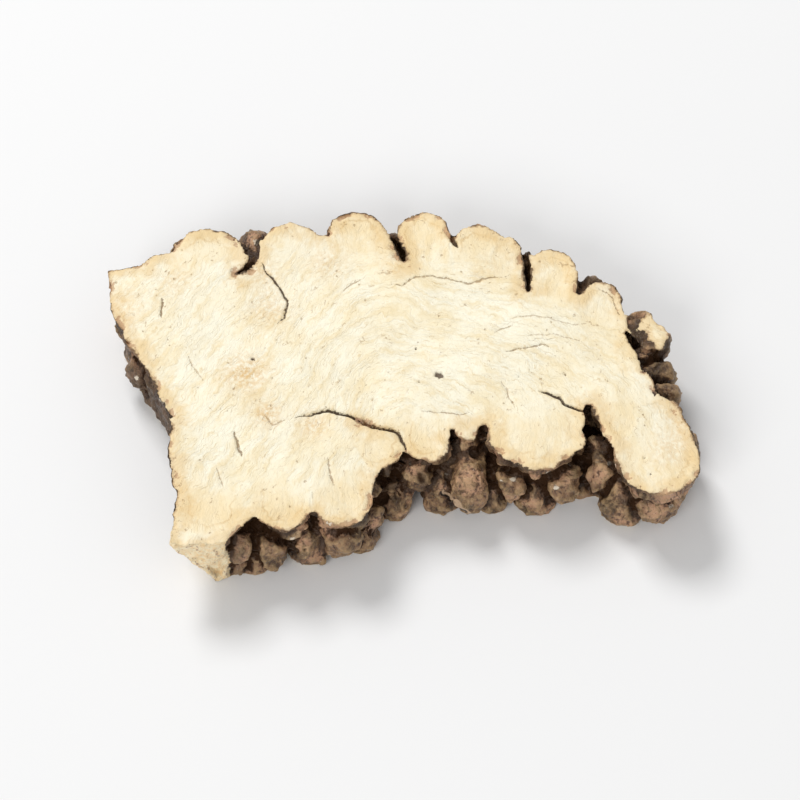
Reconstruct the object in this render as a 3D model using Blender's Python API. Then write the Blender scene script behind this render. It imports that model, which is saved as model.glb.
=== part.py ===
"""A thick slice of a dried, knobbly rhizome, lying on its lower cut face.

The rhizome is a woody core with rounded nodules grown out of it, and the slice is what two
knife cuts left of it. X runs along the slice, Y from its front to its back, and Z up.
The origin is under the middle of the slice, on the surface that it rests on.
Lengths are written in millimetres and turned into metres by MM.
"""

import math

import bmesh
import bpy
from mathutils import Matrix, Vector

MM = 0.001

# Driving dimensions.
THICKNESS = 7.8
OVERCUT = 1.5
CENTRE_X = -0.22
CENTRE_Y = 1.09

# The core's outline at the upper cut, and how far the wall has moved in X and Y at the lower cut.
# It runs clockwise, seen from above, from the torn left corner.
CORE_OUTLINE = [
    (-28.5, 13.0, 1.9, -1.4),
    (-24.4, 13.6, 0.6, -0.9),
    (-21.6, 14.2, 0.0, -1.0),
    (-16.9, 13.0, 0.0, 0.2),
    (-13.8, 13.1, 0.0, 0.0),
    (-10.3, 13.5, 0.2, 0.4),
    (-7.0, 14.0, 0.0, -0.4),
    (-1.5, 16.6, 0.0, -1.6),
    (0.4, 16.2, 0.0, -1.8),
    (5.3, 14.0, 0.0, 0.2),
    (9.5, 13.0, 0.0, -0.6),
    (11.9, 9.9, 0.4, 1.2),
    (16.3, 8.9, 0.0, 0.4),
    (20.0, 7.4, 0.2, -0.5),
    (21.3, 4.8, 0.8, 0.0),
    (22.7, 1.3, 0.6, 0.0),
    (22.9, -1.8, 0.9, 0.4),
    (20.7, -4.3, 0.4, -1.0),
    (17.4, -1.5, 0.0, -2.8),
    (15.6, -4.3, 0.0, -1.2),
    (9.5, -4.3, 0.0, -1.6),
    (7.3, -3.8, 0.0, -2.2),
    (4.8, -3.8, 0.2, -2.4),
    (1.3, -5.1, 0.0, -1.4),
    (-1.5, -7.4, 0.4, -0.8),
    (-2.6, -10.9, 0.6, 0.0),
    (-4.8, -13.5, 0.2, 0.8),
    (-8.1, -13.0, 0.0, 0.4),
    (-13.2, -13.5, 0.0, 0.0),
    (-16.0, -17.1, 0.2, 0.7),
    (-21.3, -17.3, 4.1, -0.1),
    (-21.1, -11.9, 3.9, 0.0),
    (-22.0, -7.4, 3.2, 0.0),
    (-21.8, -3.8, 1.6, -0.6),
    (-24.6, 2.3, 0.2, -0.4),
    (-26.6, 5.6, 0.4, -0.2),
    (-27.9, 8.1, 0.8, -0.4),
]

# Nodules that the upper cut went through: root x and y, tip x and y, and radius at the cut.
LOBE_MID = 7.2
LOBE_HALF_HEIGHT = 4.8
LOBES = [
    (-26.0, 10.9, -23.2, 13.1, 1.5),
    (-18.7, 13.0, -18.8, 13.5, 3.8),
    (-10.6, 14.0, -10.6, 14.8, 3.1),
    (-4.4, 13.5, -4.4, 16.2, 3.0),
    (2.6, 12.0, 2.1, 16.8, 2.5),
    (7.7, 13.0, 7.35, 14.75, 2.95),
    (9.4, 11.5, 9.3, 13.7, 2.8),
    (14.4, 8.0, 14.3, 12.6, 2.4),
    (19.0, 6.0, 18.9, 9.0, 2.1),
    (22.8, -4.8, 23.8, -8.1, 3.8),
    (20.6, -1.0, 21.4, -4.1, 3.2),
    (12.5, -2.0, 12.4, -4.7, 4.6),
    (15.4, -4.6, 15.9, -6.0, 1.3),
    (6.05, -0.5, 6.05, -4.0, 1.25),
    (2.3, -3.0, 2.3, -6.0, 2.35),
    (-3.5, -5.0, -2.5, -6.6, 2.7),
    (-6.0, -9.0, -5.6, -12.3, 2.9),
    (-11.0, -10.0, -11.0, -12.8, 2.75),
    (-17.6, -11.0, -17.6, -13.2, 3.0),
]

# Nodules that the lower cut went through, in the same way.
FOOT_MID = 1.2
FOOT_HALF_HEIGHT = 3.6
FEET = [
    (-13.4, -12.5, -13.7, -14.6, 1.8),
    (-9.0, -11.5, -8.9, -13.4, 2.1),
    (-4.6, -10.5, -4.0, -12.4, 1.9),
    (-1.6, -7.5, -0.9, -8.9, 1.8),
    (3.6, -6.0, 3.7, -8.2, 1.9),
    (8.4, -6.0, 8.3, -8.1, 1.8),
    (12.6, -6.0, 12.6, -8.2, 2.0),
    (16.6, -4.0, 16.8, -6.6, 1.8),
    (20.4, -6.0, 20.8, -9.2, 2.2),
    (24.0, -6.0, 24.8, -7.6, 2.0),
    (23.4, -4.4, 25.0, -2.6, 1.7),
    (22.4, 3.4, 23.8, 3.9, 1.9),
    (18.6, 7.0, 19.9, 8.0, 1.9),
    (13.7, 9.5, 14.4, 11.4, 2.7),
    (9.7, 12.5, 10.2, 14.0, 1.7),
    (4.4, 14.0, 4.6, 15.8, 2.5),
    (-1.6, 14.5, -1.4, 17.0, 1.9),
    (-7.4, 14.0, -7.5, 16.0, 2.6),
    (-14.0, 13.0, -14.3, 15.0, 2.1),
    (-19.7, 12.5, -20.1, 14.3, 2.7),
    (-24.6, 9.0, -25.4, 10.4, 2.0),
]

# Nodules whose bark shows under the upper face: root x and y, tip x and y, radius, height of
# the middle and half height. They start at the notch behind the left lobe and run clockwise.
KNOBS = [
    (-14.3, 13.6, -14.3, 16.9, 1.65, 4.9, 2.5),
    (-7.3, 14.5, -7.3, 17.0, 1.2, 4.8, 2.2),
    (-1.0, 15.8, -1.0, 17.1, 1.2, 4.3, 2.3),
    (11.9, 12.5, 12.0, 14.8, 0.95, 5.3, 2.0),
    (17.7, 8.0, 18.3, 11.8, 1.3, 5.0, 2.3),
    (22.5, 6.7, 23.9, 5.1, 1.75, 5.6, 2.9),
    (22.0, 4.2, 23.2, 3.9, 1.4, 5.0, 2.2),
    (22.4, 1.6, 24.3, 2.7, 1.7, 4.4, 2.5),
    (23.6, 0.2, 25.0, 0.1, 1.3, 4.5, 2.2),
    (24.4, -4.6, 26.0, -5.2, 2.0, 3.5, 2.7),
    (23.4, -8.0, 23.6, -9.3, 2.6, 3.0, 3.1),
    (18.6, -5.0, 18.9, -7.3, 2.0, 3.2, 2.5),
    (14.7, -5.0, 14.8, -8.3, 2.0, 3.6, 2.6),
    (10.0, -5.0, 10.1, -8.2, 1.9, 3.6, 2.5),
    (6.05, -3.0, 6.05, -5.2, 1.55, 6.0, 2.0),
    (6.1, -6.0, 6.3, -8.8, 2.15, 3.4, 2.9),
    (1.2, -6.0, 1.4, -7.5, 2.0, 4.2, 2.9),
    (-1.6, -8.0, -1.2, -8.7, 1.7, 3.0, 2.4),
    (-3.8, -11.0, -3.4, -11.9, 1.8, 2.7, 2.5),
    (-6.5, -12.0, -5.7, -13.3, 2.4, 3.4, 3.2),
    (-12.3, -13.0, -12.3, -14.9, 1.9, 3.0, 2.7),
    (-16.0, -13.0, -15.5, -14.7, 2.3, 3.7, 3.2),
    (-15.3, -14.6, -15.2, -15.7, 1.3, 1.7, 1.9),
    (-24.6, 3.6, -25.0, 4.2, 1.5, 3.0, 2.6),
    (-25.4, 8.0, -26.0, 8.7, 1.7, 3.0, 2.6),
    (-22.5, 11.0, -22.8, 12.9, 1.9, 3.0, 2.7),
    (-17.5, 13.0, -17.6, 15.2, 1.9, 2.8, 2.6),
    (-11.3, 14.0, -11.5, 15.8, 1.4, 3.3, 2.1),
    (-4.5, 14.0, -4.3, 16.8, 1.6, 2.3, 2.2),
    (1.5, 14.0, 1.4, 16.9, 2.2, 3.0, 2.9),
    (7.4, 13.0, 7.5, 15.1, 1.5, 3.2, 2.2),
    (11.5, 11.5, 11.9, 13.3, 1.3, 3.8, 2.2),
    (17.0, 7.5, 17.4, 9.4, 1.7, 2.4, 2.3),
    (21.5, 5.0, 22.4, 6.6, 1.8, 2.2, 2.3),
]

# Clefts between nodules and cracks in the upper face. Each is a list of x, y and width along it,
# and how deep it goes below the upper cut.
CLEFTS = [
    ([(-14.3, 13.6, 0.6), (-15.0, 12.75, 0.65), (-15.8, 12.2, 0.55), (-16.7, 11.8, 0.15)], 3.0),
    (
        [(-1.5, 17.9, 0.4), (-1.1, 16.9, 0.35), (-0.7, 16.1, 0.75), (-0.35, 15.2, 0.9),
         (0.05, 14.2, 0.9), (0.3, 13.3, 0.5)],
        4.0,
    ),
    ([(4.6, 18.4, 0.6), (4.85, 17.2, 0.45), (5.2, 15.4, 0.3)], 3.0),
    ([(11.4, 17.0, 0.8), (11.8, 15.0, 0.75), (12.0, 12.6, 0.7), (11.9, 10.2, 0.55)], 4.2),
    ([(17.4, 12.5, 0.7), (17.1, 10.8, 0.5), (16.9, 8.8, 0.15)], 3.0),
    ([(18.1, -7.2, 1.5), (17.9, -5.8, 1.1), (17.5, -4.2, 0.75), (17.4, -1.6, 0.1)], 2.4),
    ([(7.9, -7.0, 1.1), (7.6, -6.0, 0.7), (7.35, -4.4, 0.15)], 2.6),
    ([(4.5, -7.0, 1.0), (4.7, -6.0, 0.6), (4.85, -4.4, 0.15)], 2.6),
    ([(-8.2, -16.0, 0.8), (-8.4, -14.4, 0.4), (-9.3, -12.2, 0.1)], 3.0),
    (
        [(0.4, -9.6, 0.7), (0.2, -6.6, 0.4), (-0.6, -5.2, 0.35), (-3.1, -4.6, 0.35),
         (-4.1, -4.1, 0.45), (-4.9, -3.4, 0.3), (-6.8, -2.9, 0.1)],
        2.6,
    ),
    ([(17.0, -3.4, 0.35), (15.6, -2.5, 0.35), (14.7, -1.6, 0.3), (13.5, -1.0, 0.1)], 2.0),
    ([(-13.0, 12.9, 0.3), (-11.7, 10.9, 0.3), (-11.0, 8.9, 0.35), (-11.3, 7.2, 0.1)], 1.8),
]

# How finely the forms are worked out, and what of that detail is kept.
VOXEL = 0.3
SMOOTHING_PASSES = 5
WALL_DETAIL_KEPT = 0.11
UPPER_GRID = 1.8
LOWER_GRID = 2.6
KNOB_ROUNDNESS = 3

# Bumps in the bark.
BUMP_SIZE = 1.9
BUMP_DEPTH = 0.45

SLAB_HALF_X = 31.5
SLAB_HALF_Y = 21.0

FLESH = (0.83, 0.72, 0.50, 1.0)


def upper_face(x, y):
    """Height of the upper cut face, which warped a little as the slice dried."""
    sag = 0.22 * math.sin(0.115 * x + 0.7) * math.cos(0.12 * y - 0.2)
    ripple = 0.10 * math.sin(0.34 * x - 0.42 * y) + 0.06 * math.sin(0.71 * x + 0.55 * y + 1.3)
    curl = 0.45 * max(0.0, (-x - 20.0) / 8.0) ** 2
    return THICKNESS - 0.25 + sag + ripple - curl


def lower_face(x, y):
    """Height of the lower cut face: flat where it rests, and hollow between."""
    hollow = 0.45 * math.sin(0.21 * x + 0.5) * math.cos(0.26 * y + 0.4) - 0.08
    return max(0.0, hollow)


def placed(x, y, z):
    """A point of the slice, in metres from the origin."""
    return Vector((x - CENTRE_X, y - CENTRE_Y, z)) * MM


def new_object(name, mesh_builder):
    """An object whose mesh is what mesh_builder puts in an empty bmesh."""
    shape = bmesh.new()
    mesh_builder(shape)
    bmesh.ops.recalc_face_normals(shape, faces=shape.faces)
    mesh = bpy.data.meshes.new(name)
    shape.to_mesh(mesh)
    shape.free()
    made = bpy.data.objects.new(name, mesh)
    bpy.context.collection.objects.link(made)
    return made


def add_core(shape):
    """The core: its outline at the upper cut joined to its outline at the lower cut."""
    rings = []
    for z in (-OVERCUT, THICKNESS + OVERCUT):
        share = 1.0 - z / THICKNESS
        rings.append(
            [shape.verts.new(placed(x + dx * share, y + dy * share, z)) for x, y, dx, dy in CORE_OUTLINE]
        )
    lower, upper = rings
    count = len(CORE_OUTLINE)
    for i in range(count):
        j = (i + 1) % count
        shape.faces.new((lower[i], lower[j], upper[j], upper[i]))
    caps = [shape.faces.new(lower), shape.faces.new(upper)]
    bmesh.ops.triangulate(shape, faces=caps)


def ball_points():
    """The corners of a ball of radius one."""
    ball = bmesh.new()
    bmesh.ops.create_icosphere(ball, subdivisions=KNOB_ROUNDNESS, radius=1.0)
    points = [corner.co.copy() for corner in ball.verts]
    ball.free()
    return points


def add_nodule(shape, ball, root, tip, radius, middle, half_height):
    """A rounded nodule: the hull of one ellipsoid at its root and one at its tip."""
    corners = []
    for x, y in (root, tip):
        for point in ball:
            height = middle + point.z * half_height
            corners.append(shape.verts.new(placed(x + point.x * radius, y + point.y * radius, height)))
    bmesh.ops.convex_hull(shape, input=corners)
    loose = [corner for corner in corners if corner.is_valid and not corner.link_faces]
    bmesh.ops.delete(shape, geom=loose, context="VERTS")


def add_rhizome(shape):
    """The core and every nodule, still as overlapping closed shapes."""
    add_core(shape)
    ball = ball_points()
    for x0, y0, x1, y1, radius in LOBES:
        widest = radius / math.sqrt(1 - ((THICKNESS - LOBE_MID) / LOBE_HALF_HEIGHT) ** 2)
        add_nodule(shape, ball, (x0, y0), (x1, y1), widest, LOBE_MID, LOBE_HALF_HEIGHT)
    for x0, y0, x1, y1, radius in FEET:
        widest = radius / math.sqrt(1 - (FOOT_MID / FOOT_HALF_HEIGHT) ** 2)
        add_nodule(shape, ball, (x0, y0), (x1, y1), widest, FOOT_MID, FOOT_HALF_HEIGHT)
    for x0, y0, x1, y1, radius, middle, half_height in KNOBS:
        add_nodule(shape, ball, (x0, y0), (x1, y1), radius, middle, half_height)


def add_face_grid(shape, spacing, height):
    """A grid of quads at height(x, y), and its vertices in rows."""
    columns = math.ceil(2 * SLAB_HALF_X / spacing)
    rows = math.ceil(2 * SLAB_HALF_Y / spacing)
    grid = []
    for j in range(rows + 1):
        y = SLAB_HALF_Y * (2 * j / rows - 1)
        xs = [SLAB_HALF_X * (2 * i / columns - 1) for i in range(columns + 1)]
        grid.append([shape.verts.new(placed(x, y, height(x, y))) for x in xs])
    for j in range(rows):
        for i in range(columns):
            shape.faces.new((grid[j][i], grid[j][i + 1], grid[j + 1][i + 1], grid[j + 1][i]))
    return grid


def border(grid):
    """The vertices round the edge of a grid, in order."""
    right = [row[-1] for row in grid[1:-1]]
    left = [row[0] for row in grid[1:-1]]
    return grid[0] + right + grid[-1][::-1] + left[::-1]


def add_slab(shape):
    """The space between the two knife cuts, larger than the rhizome in X and Y."""
    upper = add_face_grid(shape, UPPER_GRID, upper_face)
    lower = add_face_grid(shape, LOWER_GRID, lower_face)
    edges = []
    for loop in (border(upper), border(lower)):
        pairs = zip(loop, loop[1:] + loop[:1])
        edges += [shape.edges.get(pair) for pair in pairs]
    bmesh.ops.bridge_loops(shape, edges=edges)
    bmesh.ops.triangulate(shape, faces=shape.faces)


def add_cleft(shape, line, depth):
    """A V-shaped blade along a line of x, y and width, from above the upper cut down to depth."""
    top = THICKNESS + OVERCUT
    spread = (depth + OVERCUT) / depth
    sections = []
    for i, (x, y, width) in enumerate(line):
        before = line[max(i - 1, 0)]
        after = line[min(i + 1, len(line) - 1)]
        along = Vector((after[0] - before[0], after[1] - before[1])).normalized()
        side = Vector((-along.y, along.x)) * (width * spread / 2)
        sections.append(
            [
                shape.verts.new(placed(x + side.x, y + side.y, top)),
                shape.verts.new(placed(x - side.x, y - side.y, top)),
                shape.verts.new(placed(x, y, THICKNESS - depth)),
            ]
        )
    for one, two in zip(sections, sections[1:]):
        for i in range(3):
            j = (i + 1) % 3
            shape.faces.new((one[i], one[j], two[j], two[i]))
    shape.faces.new(sections[0])
    shape.faces.new(sections[-1])


def add_clefts(shape):
    for line, depth in CLEFTS:
        add_cleft(shape, line, depth)


def as_cutter(guide):
    guide.hide_render = True
    guide.display_type = "WIRE"
    return guide


def flesh_material():
    material = bpy.data.materials.new("dried_flesh")
    material.use_nodes = True
    shader = material.node_tree.nodes["Principled BSDF"]
    shader.inputs["Base Color"].default_value = FLESH
    shader.inputs["Roughness"].default_value = 0.85
    shader.inputs["Metallic"].default_value = 0.0
    return material


def bark_bumps():
    bumps = bpy.data.textures.new("bark_bumps", "CLOUDS")
    bumps.noise_scale = BUMP_SIZE * MM
    bumps.noise_depth = 1
    return bumps


def fuse_and_cut(rhizome, slab, clefts):
    """Fuses the nodules, roughens the bark, and leaves what the knife and the cracks left."""
    fuse = rhizome.modifiers.new("fuse", "REMESH")
    fuse.mode = "VOXEL"
    fuse.voxel_size = VOXEL * MM
    fillet = rhizome.modifiers.new("fillet", "SMOOTH")
    fillet.iterations = SMOOTHING_PASSES
    bark = rhizome.modifiers.new("bark", "DISPLACE")
    bark.texture = bark_bumps()
    bark.texture_coords = "LOCAL"
    bark.strength = BUMP_DEPTH * MM
    bark.mid_level = 0.5
    thin = rhizome.modifiers.new("thin", "DECIMATE")
    thin.ratio = WALL_DETAIL_KEPT
    cut = rhizome.modifiers.new("cut", "BOOLEAN")
    cut.operation = "INTERSECT"
    cut.object = slab
    split = rhizome.modifiers.new("split", "BOOLEAN")
    split.operation = "DIFFERENCE"
    split.object = clefts


def main():
    for old in list(bpy.data.objects):
        bpy.data.objects.remove(old, do_unlink=True)
    rhizome = new_object("rhizome_slice", add_rhizome)
    slab = as_cutter(new_object("knife_cuts", add_slab))
    clefts = as_cutter(new_object("clefts", add_clefts))
    fuse_and_cut(rhizome, slab, clefts)
    rhizome.data.materials.append(flesh_material())


main()
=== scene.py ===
"""Dresses the dried rhizome slice: fibrous pale cut faces and dark knobbly bark.

The slice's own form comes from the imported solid. Here it is remeshed finely, its bark is
wrinkled, its cut faces get their fibres and cracks, and it gets its colours.
Lengths are in millimetres, in the slice's own plan, where no comment says metres.
"""

import math

import bmesh
import bpy
import numpy as np
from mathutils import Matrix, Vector, kdtree


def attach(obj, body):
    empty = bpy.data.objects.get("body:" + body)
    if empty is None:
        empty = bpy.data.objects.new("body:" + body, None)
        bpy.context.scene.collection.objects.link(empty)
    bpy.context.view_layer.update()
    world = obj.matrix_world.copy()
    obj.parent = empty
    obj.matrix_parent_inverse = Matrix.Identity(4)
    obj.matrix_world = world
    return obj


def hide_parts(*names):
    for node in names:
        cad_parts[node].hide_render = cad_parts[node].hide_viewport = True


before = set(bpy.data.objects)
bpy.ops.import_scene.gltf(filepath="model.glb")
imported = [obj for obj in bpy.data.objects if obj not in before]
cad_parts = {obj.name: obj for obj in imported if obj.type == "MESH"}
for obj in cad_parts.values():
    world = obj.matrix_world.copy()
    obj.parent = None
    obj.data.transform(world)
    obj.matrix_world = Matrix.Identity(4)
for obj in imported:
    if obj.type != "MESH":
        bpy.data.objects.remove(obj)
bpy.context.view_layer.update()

# A millimetre in metres.
MM = 0.001
NODE = "rhizome_slice"

# The slice's plan, as the solid has it.
THICKNESS = 7.8
CENTRE = np.array([-0.22, 1.09, 0.0])

# How finely the form is worked out, and the share of faces given up where a cut is flat.
VOXEL = 0.2
LOWER_THINNED = 0.94
UPPER_THINNED = 0.52

# How far from a cut face's own height a point may lie, to be taken as on it.
FACE_TOLERANCE = 0.13
FLAT_TOLERANCE = 0.15

# How far the noise of the nodules' fibres lies from that of the core's.
LOBE_GRAIN_APART = 20.0

# Height of the finest relief, in metres.
BUMP_HEIGHT = 0.00016

# The one seed of all the noise, and how many small buds and root scars the bark gets.
SEED = 11
BUDS = 46
SCARS = 40

# The core's outline at the upper cut, and how far its wall has moved in X and Y at the lower cut.
CORE_OUTLINE = [
    (-28.5, 13, 1.9, -1.4), (-24.4, 13.6, 0.6, -0.9), (-21.6, 14.2, 0, -1),
    (-16.9, 13, 0, 0.2), (-13.8, 13.1, 0, 0), (-10.3, 13.5, 0.2, 0.4),
    (-7, 14, 0, -0.4), (-1.5, 16.6, 0, -1.6), (0.4, 16.2, 0, -1.8),
    (5.3, 14, 0, 0.2), (9.5, 13, 0, -0.6), (11.9, 9.9, 0.4, 1.2),
    (16.3, 8.9, 0, 0.4), (20, 7.4, 0.2, -0.5), (21.3, 4.8, 0.8, 0),
    (22.7, 1.3, 0.6, 0), (22.9, -1.8, 0.9, 0.4), (20.7, -4.3, 0.4, -1),
    (17.4, -1.5, 0, -2.8), (15.6, -4.3, 0, -1.2), (9.5, -4.3, 0, -1.6),
    (7.3, -3.8, 0, -2.2), (4.8, -3.8, 0.2, -2.4), (1.3, -5.1, 0, -1.4),
    (-1.5, -7.4, 0.4, -0.8), (-2.6, -10.9, 0.6, 0), (-4.8, -13.5, 0.2, 0.8),
    (-8.1, -13, 0, 0.4), (-13.2, -13.5, 0, 0), (-16, -17.1, 0.2, 0.7),
    (-21.3, -17.3, 4.1, -0.1), (-21.1, -11.9, 3.9, 0), (-22, -7.4, 3.2, 0),
    (-21.8, -3.8, 1.6, -0.6), (-24.6, 2.3, 0.2, -0.4), (-26.6, 5.6, 0.4, -0.2),
    (-27.9, 8.1, 0.8, -0.4),
]

# Nodules that the upper cut went through: root x and y, tip x and y, and radius at the cut.
LOBE_MID = 7.2
LOBE_HALF_HEIGHT = 4.8
LOBES = [
    (-26, 10.9, -23.2, 13.1, 1.5), (-18.7, 13, -18.8, 13.5, 3.8),
    (-10.6, 14, -10.6, 14.8, 3.1), (-4.4, 13.5, -4.4, 16.2, 3),
    (2.6, 12, 2.1, 16.8, 2.5), (7.7, 13, 7.35, 14.75, 2.95),
    (9.4, 11.5, 9.3, 13.7, 2.8), (14.4, 8, 14.3, 12.6, 2.4),
    (19, 6, 18.9, 9, 2.1), (22.8, -4.8, 23.8, -8.1, 3.8),
    (20.6, -1, 21.4, -4.1, 3.2), (12.5, -2, 12.4, -4.7, 4.6),
    (15.4, -4.6, 15.9, -6, 1.3), (6.05, -0.5, 6.05, -4, 1.25),
    (2.3, -3, 2.3, -6, 2.35), (-3.5, -5, -2.5, -6.6, 2.7),
    (-6, -9, -5.6, -12.3, 2.9), (-11, -10, -11, -12.8, 2.75),
    (-17.6, -11, -17.6, -13.2, 3),
]

# Nodules that the lower cut went through, in the same way.
FOOT_MID = 1.2
FOOT_HALF_HEIGHT = 3.6
FEET = [
    (-13.4, -12.5, -13.7, -14.6, 1.8), (-9, -11.5, -8.9, -13.4, 2.1),
    (-4.6, -10.5, -4, -12.4, 1.9), (-1.6, -7.5, -0.9, -8.9, 1.8),
    (3.6, -6, 3.7, -8.2, 1.9), (8.4, -6, 8.3, -8.1, 1.8),
    (12.6, -6, 12.6, -8.2, 2), (16.6, -4, 16.8, -6.6, 1.8),
    (20.4, -6, 20.8, -9.2, 2.2), (24, -6, 24.8, -7.6, 2),
    (23.4, -4.4, 25, -2.6, 1.7), (22.4, 3.4, 23.8, 3.9, 1.9),
    (18.6, 7, 19.9, 8, 1.9), (13.7, 9.5, 14.4, 11.4, 2.7),
    (9.7, 12.5, 10.2, 14, 1.7), (4.4, 14, 4.6, 15.8, 2.5),
    (-1.6, 14.5, -1.4, 17, 1.9), (-7.4, 14, -7.5, 16, 2.6),
    (-14, 13, -14.3, 15, 2.1), (-19.7, 12.5, -20.1, 14.3, 2.7),
    (-24.6, 9, -25.4, 10.4, 2),
]

# Nodules whose bark shows under the upper face: root x and y, tip x and y, radius, height of
# the middle and half height.
KNOBS = [
    (-14.3, 13.6, -14.3, 16.9, 1.65, 4.9, 2.5), (-7.3, 14.5, -7.3, 17, 1.2, 4.8, 2.2),
    (-1, 15.8, -1, 17.1, 1.2, 4.3, 2.3), (11.9, 12.5, 12, 14.8, 0.95, 5.3, 2),
    (17.7, 8, 18.3, 11.8, 1.3, 5, 2.3), (22.5, 6.7, 23.9, 5.1, 1.75, 5.6, 2.9),
    (22, 4.2, 23.2, 3.9, 1.4, 5, 2.2), (22.4, 1.6, 24.3, 2.7, 1.7, 4.4, 2.5),
    (23.6, 0.2, 25, 0.1, 1.3, 4.5, 2.2), (24.4, -4.6, 26, -5.2, 2, 3.5, 2.7),
    (23.4, -8, 23.6, -9.3, 2.6, 3, 3.1), (18.6, -5, 18.9, -7.3, 2, 3.2, 2.5),
    (14.7, -5, 14.8, -8.3, 2, 3.6, 2.6), (10, -5, 10.1, -8.2, 1.9, 3.6, 2.5),
    (6.05, -3, 6.05, -5.2, 1.55, 6, 2), (6.1, -6, 6.3, -8.8, 2.15, 3.4, 2.9),
    (1.2, -6, 1.4, -7.5, 2, 4.2, 2.9), (-1.6, -8, -1.2, -8.7, 1.7, 3, 2.4),
    (-3.8, -11, -3.4, -11.9, 1.8, 2.7, 2.5), (-6.5, -12, -5.7, -13.3, 2.4, 3.4, 3.2),
    (-12.3, -13, -12.3, -14.9, 1.9, 3, 2.7), (-16, -13, -15.5, -14.7, 2.3, 3.7, 3.2),
    (-15.3, -14.6, -15.2, -15.7, 1.3, 1.7, 1.9), (-24.6, 3.6, -25, 4.2, 1.5, 3, 2.6),
    (-25.4, 8, -26, 8.7, 1.7, 3, 2.6), (-22.5, 11, -22.8, 12.9, 1.9, 3, 2.7),
    (-17.5, 13, -17.6, 15.2, 1.9, 2.8, 2.6), (-11.3, 14, -11.5, 15.8, 1.4, 3.3, 2.1),
    (-4.5, 14, -4.3, 16.8, 1.6, 2.3, 2.2), (1.5, 14, 1.4, 16.9, 2.2, 3, 2.9),
    (7.4, 13, 7.5, 15.1, 1.5, 3.2, 2.2), (11.5, 11.5, 11.9, 13.3, 1.3, 3.8, 2.2),
    (17, 7.5, 17.4, 9.4, 1.7, 2.4, 2.3), (21.5, 5, 22.4, 6.6, 1.8, 2.2, 2.3),
]

# Finer cracks in the upper face: points, width in the middle, and how dark their painted shade is
# and how deep they are.
CRACKS = [
    ([(0.4, -8.6), (0.2, -6.6), (-0.6, -5.2), (-3.1, -4.6), (-4.1, -4.1), (-4.9, -3.4),
      (-6.8, -2.9), (-8.6, -3.2), (-10, -3.6)], 0.3, 1),
    ([(17.4, -3.2), (16.4, -2.9), (15.6, -2.5), (14.7, -1.6), (13.5, -1), (12.6, -0.8)], 0.28, 1),
    ([(-13.6, 13.4), (-12.6, 12), (-11.7, 10.9), (-11, 8.9), (-11.2, 7.4), (-11.9, 6.6)], 0.2, 0.9),
    ([(-23, 9.4), (-22.9, 8.2), (-22.8, 7.2)], 0.22, 0.6),
    ([(-15.7, -5), (-15.3, -6.4), (-15, -7.8)], 0.2, 0.6),
    ([(-6.9, -7.9), (-6.6, -9.6), (-6.3, -11)], 0.16, 0.45),
    ([(-20.2, 3.2), (-19.4, 1.6), (-18.8, 0.4)], 0.14, 0.35),
    ([(-17.2, -8.9), (-16.4, -11)], 0.14, 0.35),
    ([(4.75, 16.9), (4.95, 16), (5.3, 15)], 0.36, 1),
    ([(-1.6, 10.9), (0, 10.7), (1.3, 11.7), (2.9, 11.9), (4.4, 11.5), (6.2, 10.9),
      (7.7, 11.6), (9, 11.7), (10.2, 11.9)], 0.15, 0.5),
    ([(1.8, -3.2), (3.6, -3.4), (5.4, -3.5), (6.4, -3.1)], 0.14, 0.45),
    ([(8.6, 5.4), (9.6, 5.9), (10.6, 6.3)], 0.15, 0.4),
    ([(9.6, 3.2), (11.4, 3.7), (13.2, 4.1), (13.9, 3.7)], 0.15, 0.5),
    ([(9.8, 6.9), (12.6, 7.3), (15.4, 6.6), (17.8, 6.4)], 0.12, 0.3),
    ([(11.4, 5), (14.2, 5.3), (17.4, 4.4)], 0.12, 0.3),
    ([(9.2, 0.2), (9.9, -1.2), (10.6, -2.9)], 0.14, 0.3),
    ([(-5.8, 10.2), (-4.9, 11), (-3.9, 11.6)], 0.14, 0.4),
    ([(-12.8, -3.4), (-11.9, -4.4), (-10.9, -3.9)], 0.2, 0.35),
    ([(18.8, 10.6), (20, 9.4), (20.7, 7.4)], 0.14, 0.45),
]

# Slits between nodules, as points along them.
SLITS = [
    [(-14.3, 13.6), (-15, 12.75), (-15.8, 12.2), (-16.7, 11.8)],
    [(-1.5, 17.9), (-1.1, 16.9), (-0.7, 16.1), (-0.35, 15.2), (0.05, 14.2), (0.3, 13.3)],
    [(4.6, 18.4), (4.85, 17.2), (5.2, 15.4)],
    [(11.4, 17), (11.8, 15), (12, 12.6), (11.9, 10.2)],
    [(17.4, 12.5), (17.1, 10.8), (16.9, 8.8)],
]

# Where bark is left on the upper cut of the small nodule at the right: x, y and radius.
BARK_LEFT = [
    (21.5, 6.9, 1), (22.4, 7.9, 0.75), (22.4, 5, 0.9),
    (23.3, 4.1, 0.6),
]

# How far a point moves down the picture for each millimetre that it lies below the upper face,
# so that marks on the bark can be given as x and y in the upper face's plane, as they are seen.
SEEN_DROP = 0.577

# Pinkish places on the bark, as seen: x, y and radius.
PINK_PLACES = [
    (5.5, -6, 1.1), (1.3, -8.9, 1.6), (6.4, -10.7, 1.8),
    (14.7, -10.2, 1.4), (18.5, -9.9, 1.1), (24.6, -12.4, 2),
    (27.4, -12, 1.4), (-6.6, -15.5, 1.6), (-15.2, -17, 1.2),
    (-9.2, -17.3, 0.9), (-24.6, 0.8, 1.2), (-14.3, 15.7, 1.1),
]
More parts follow.
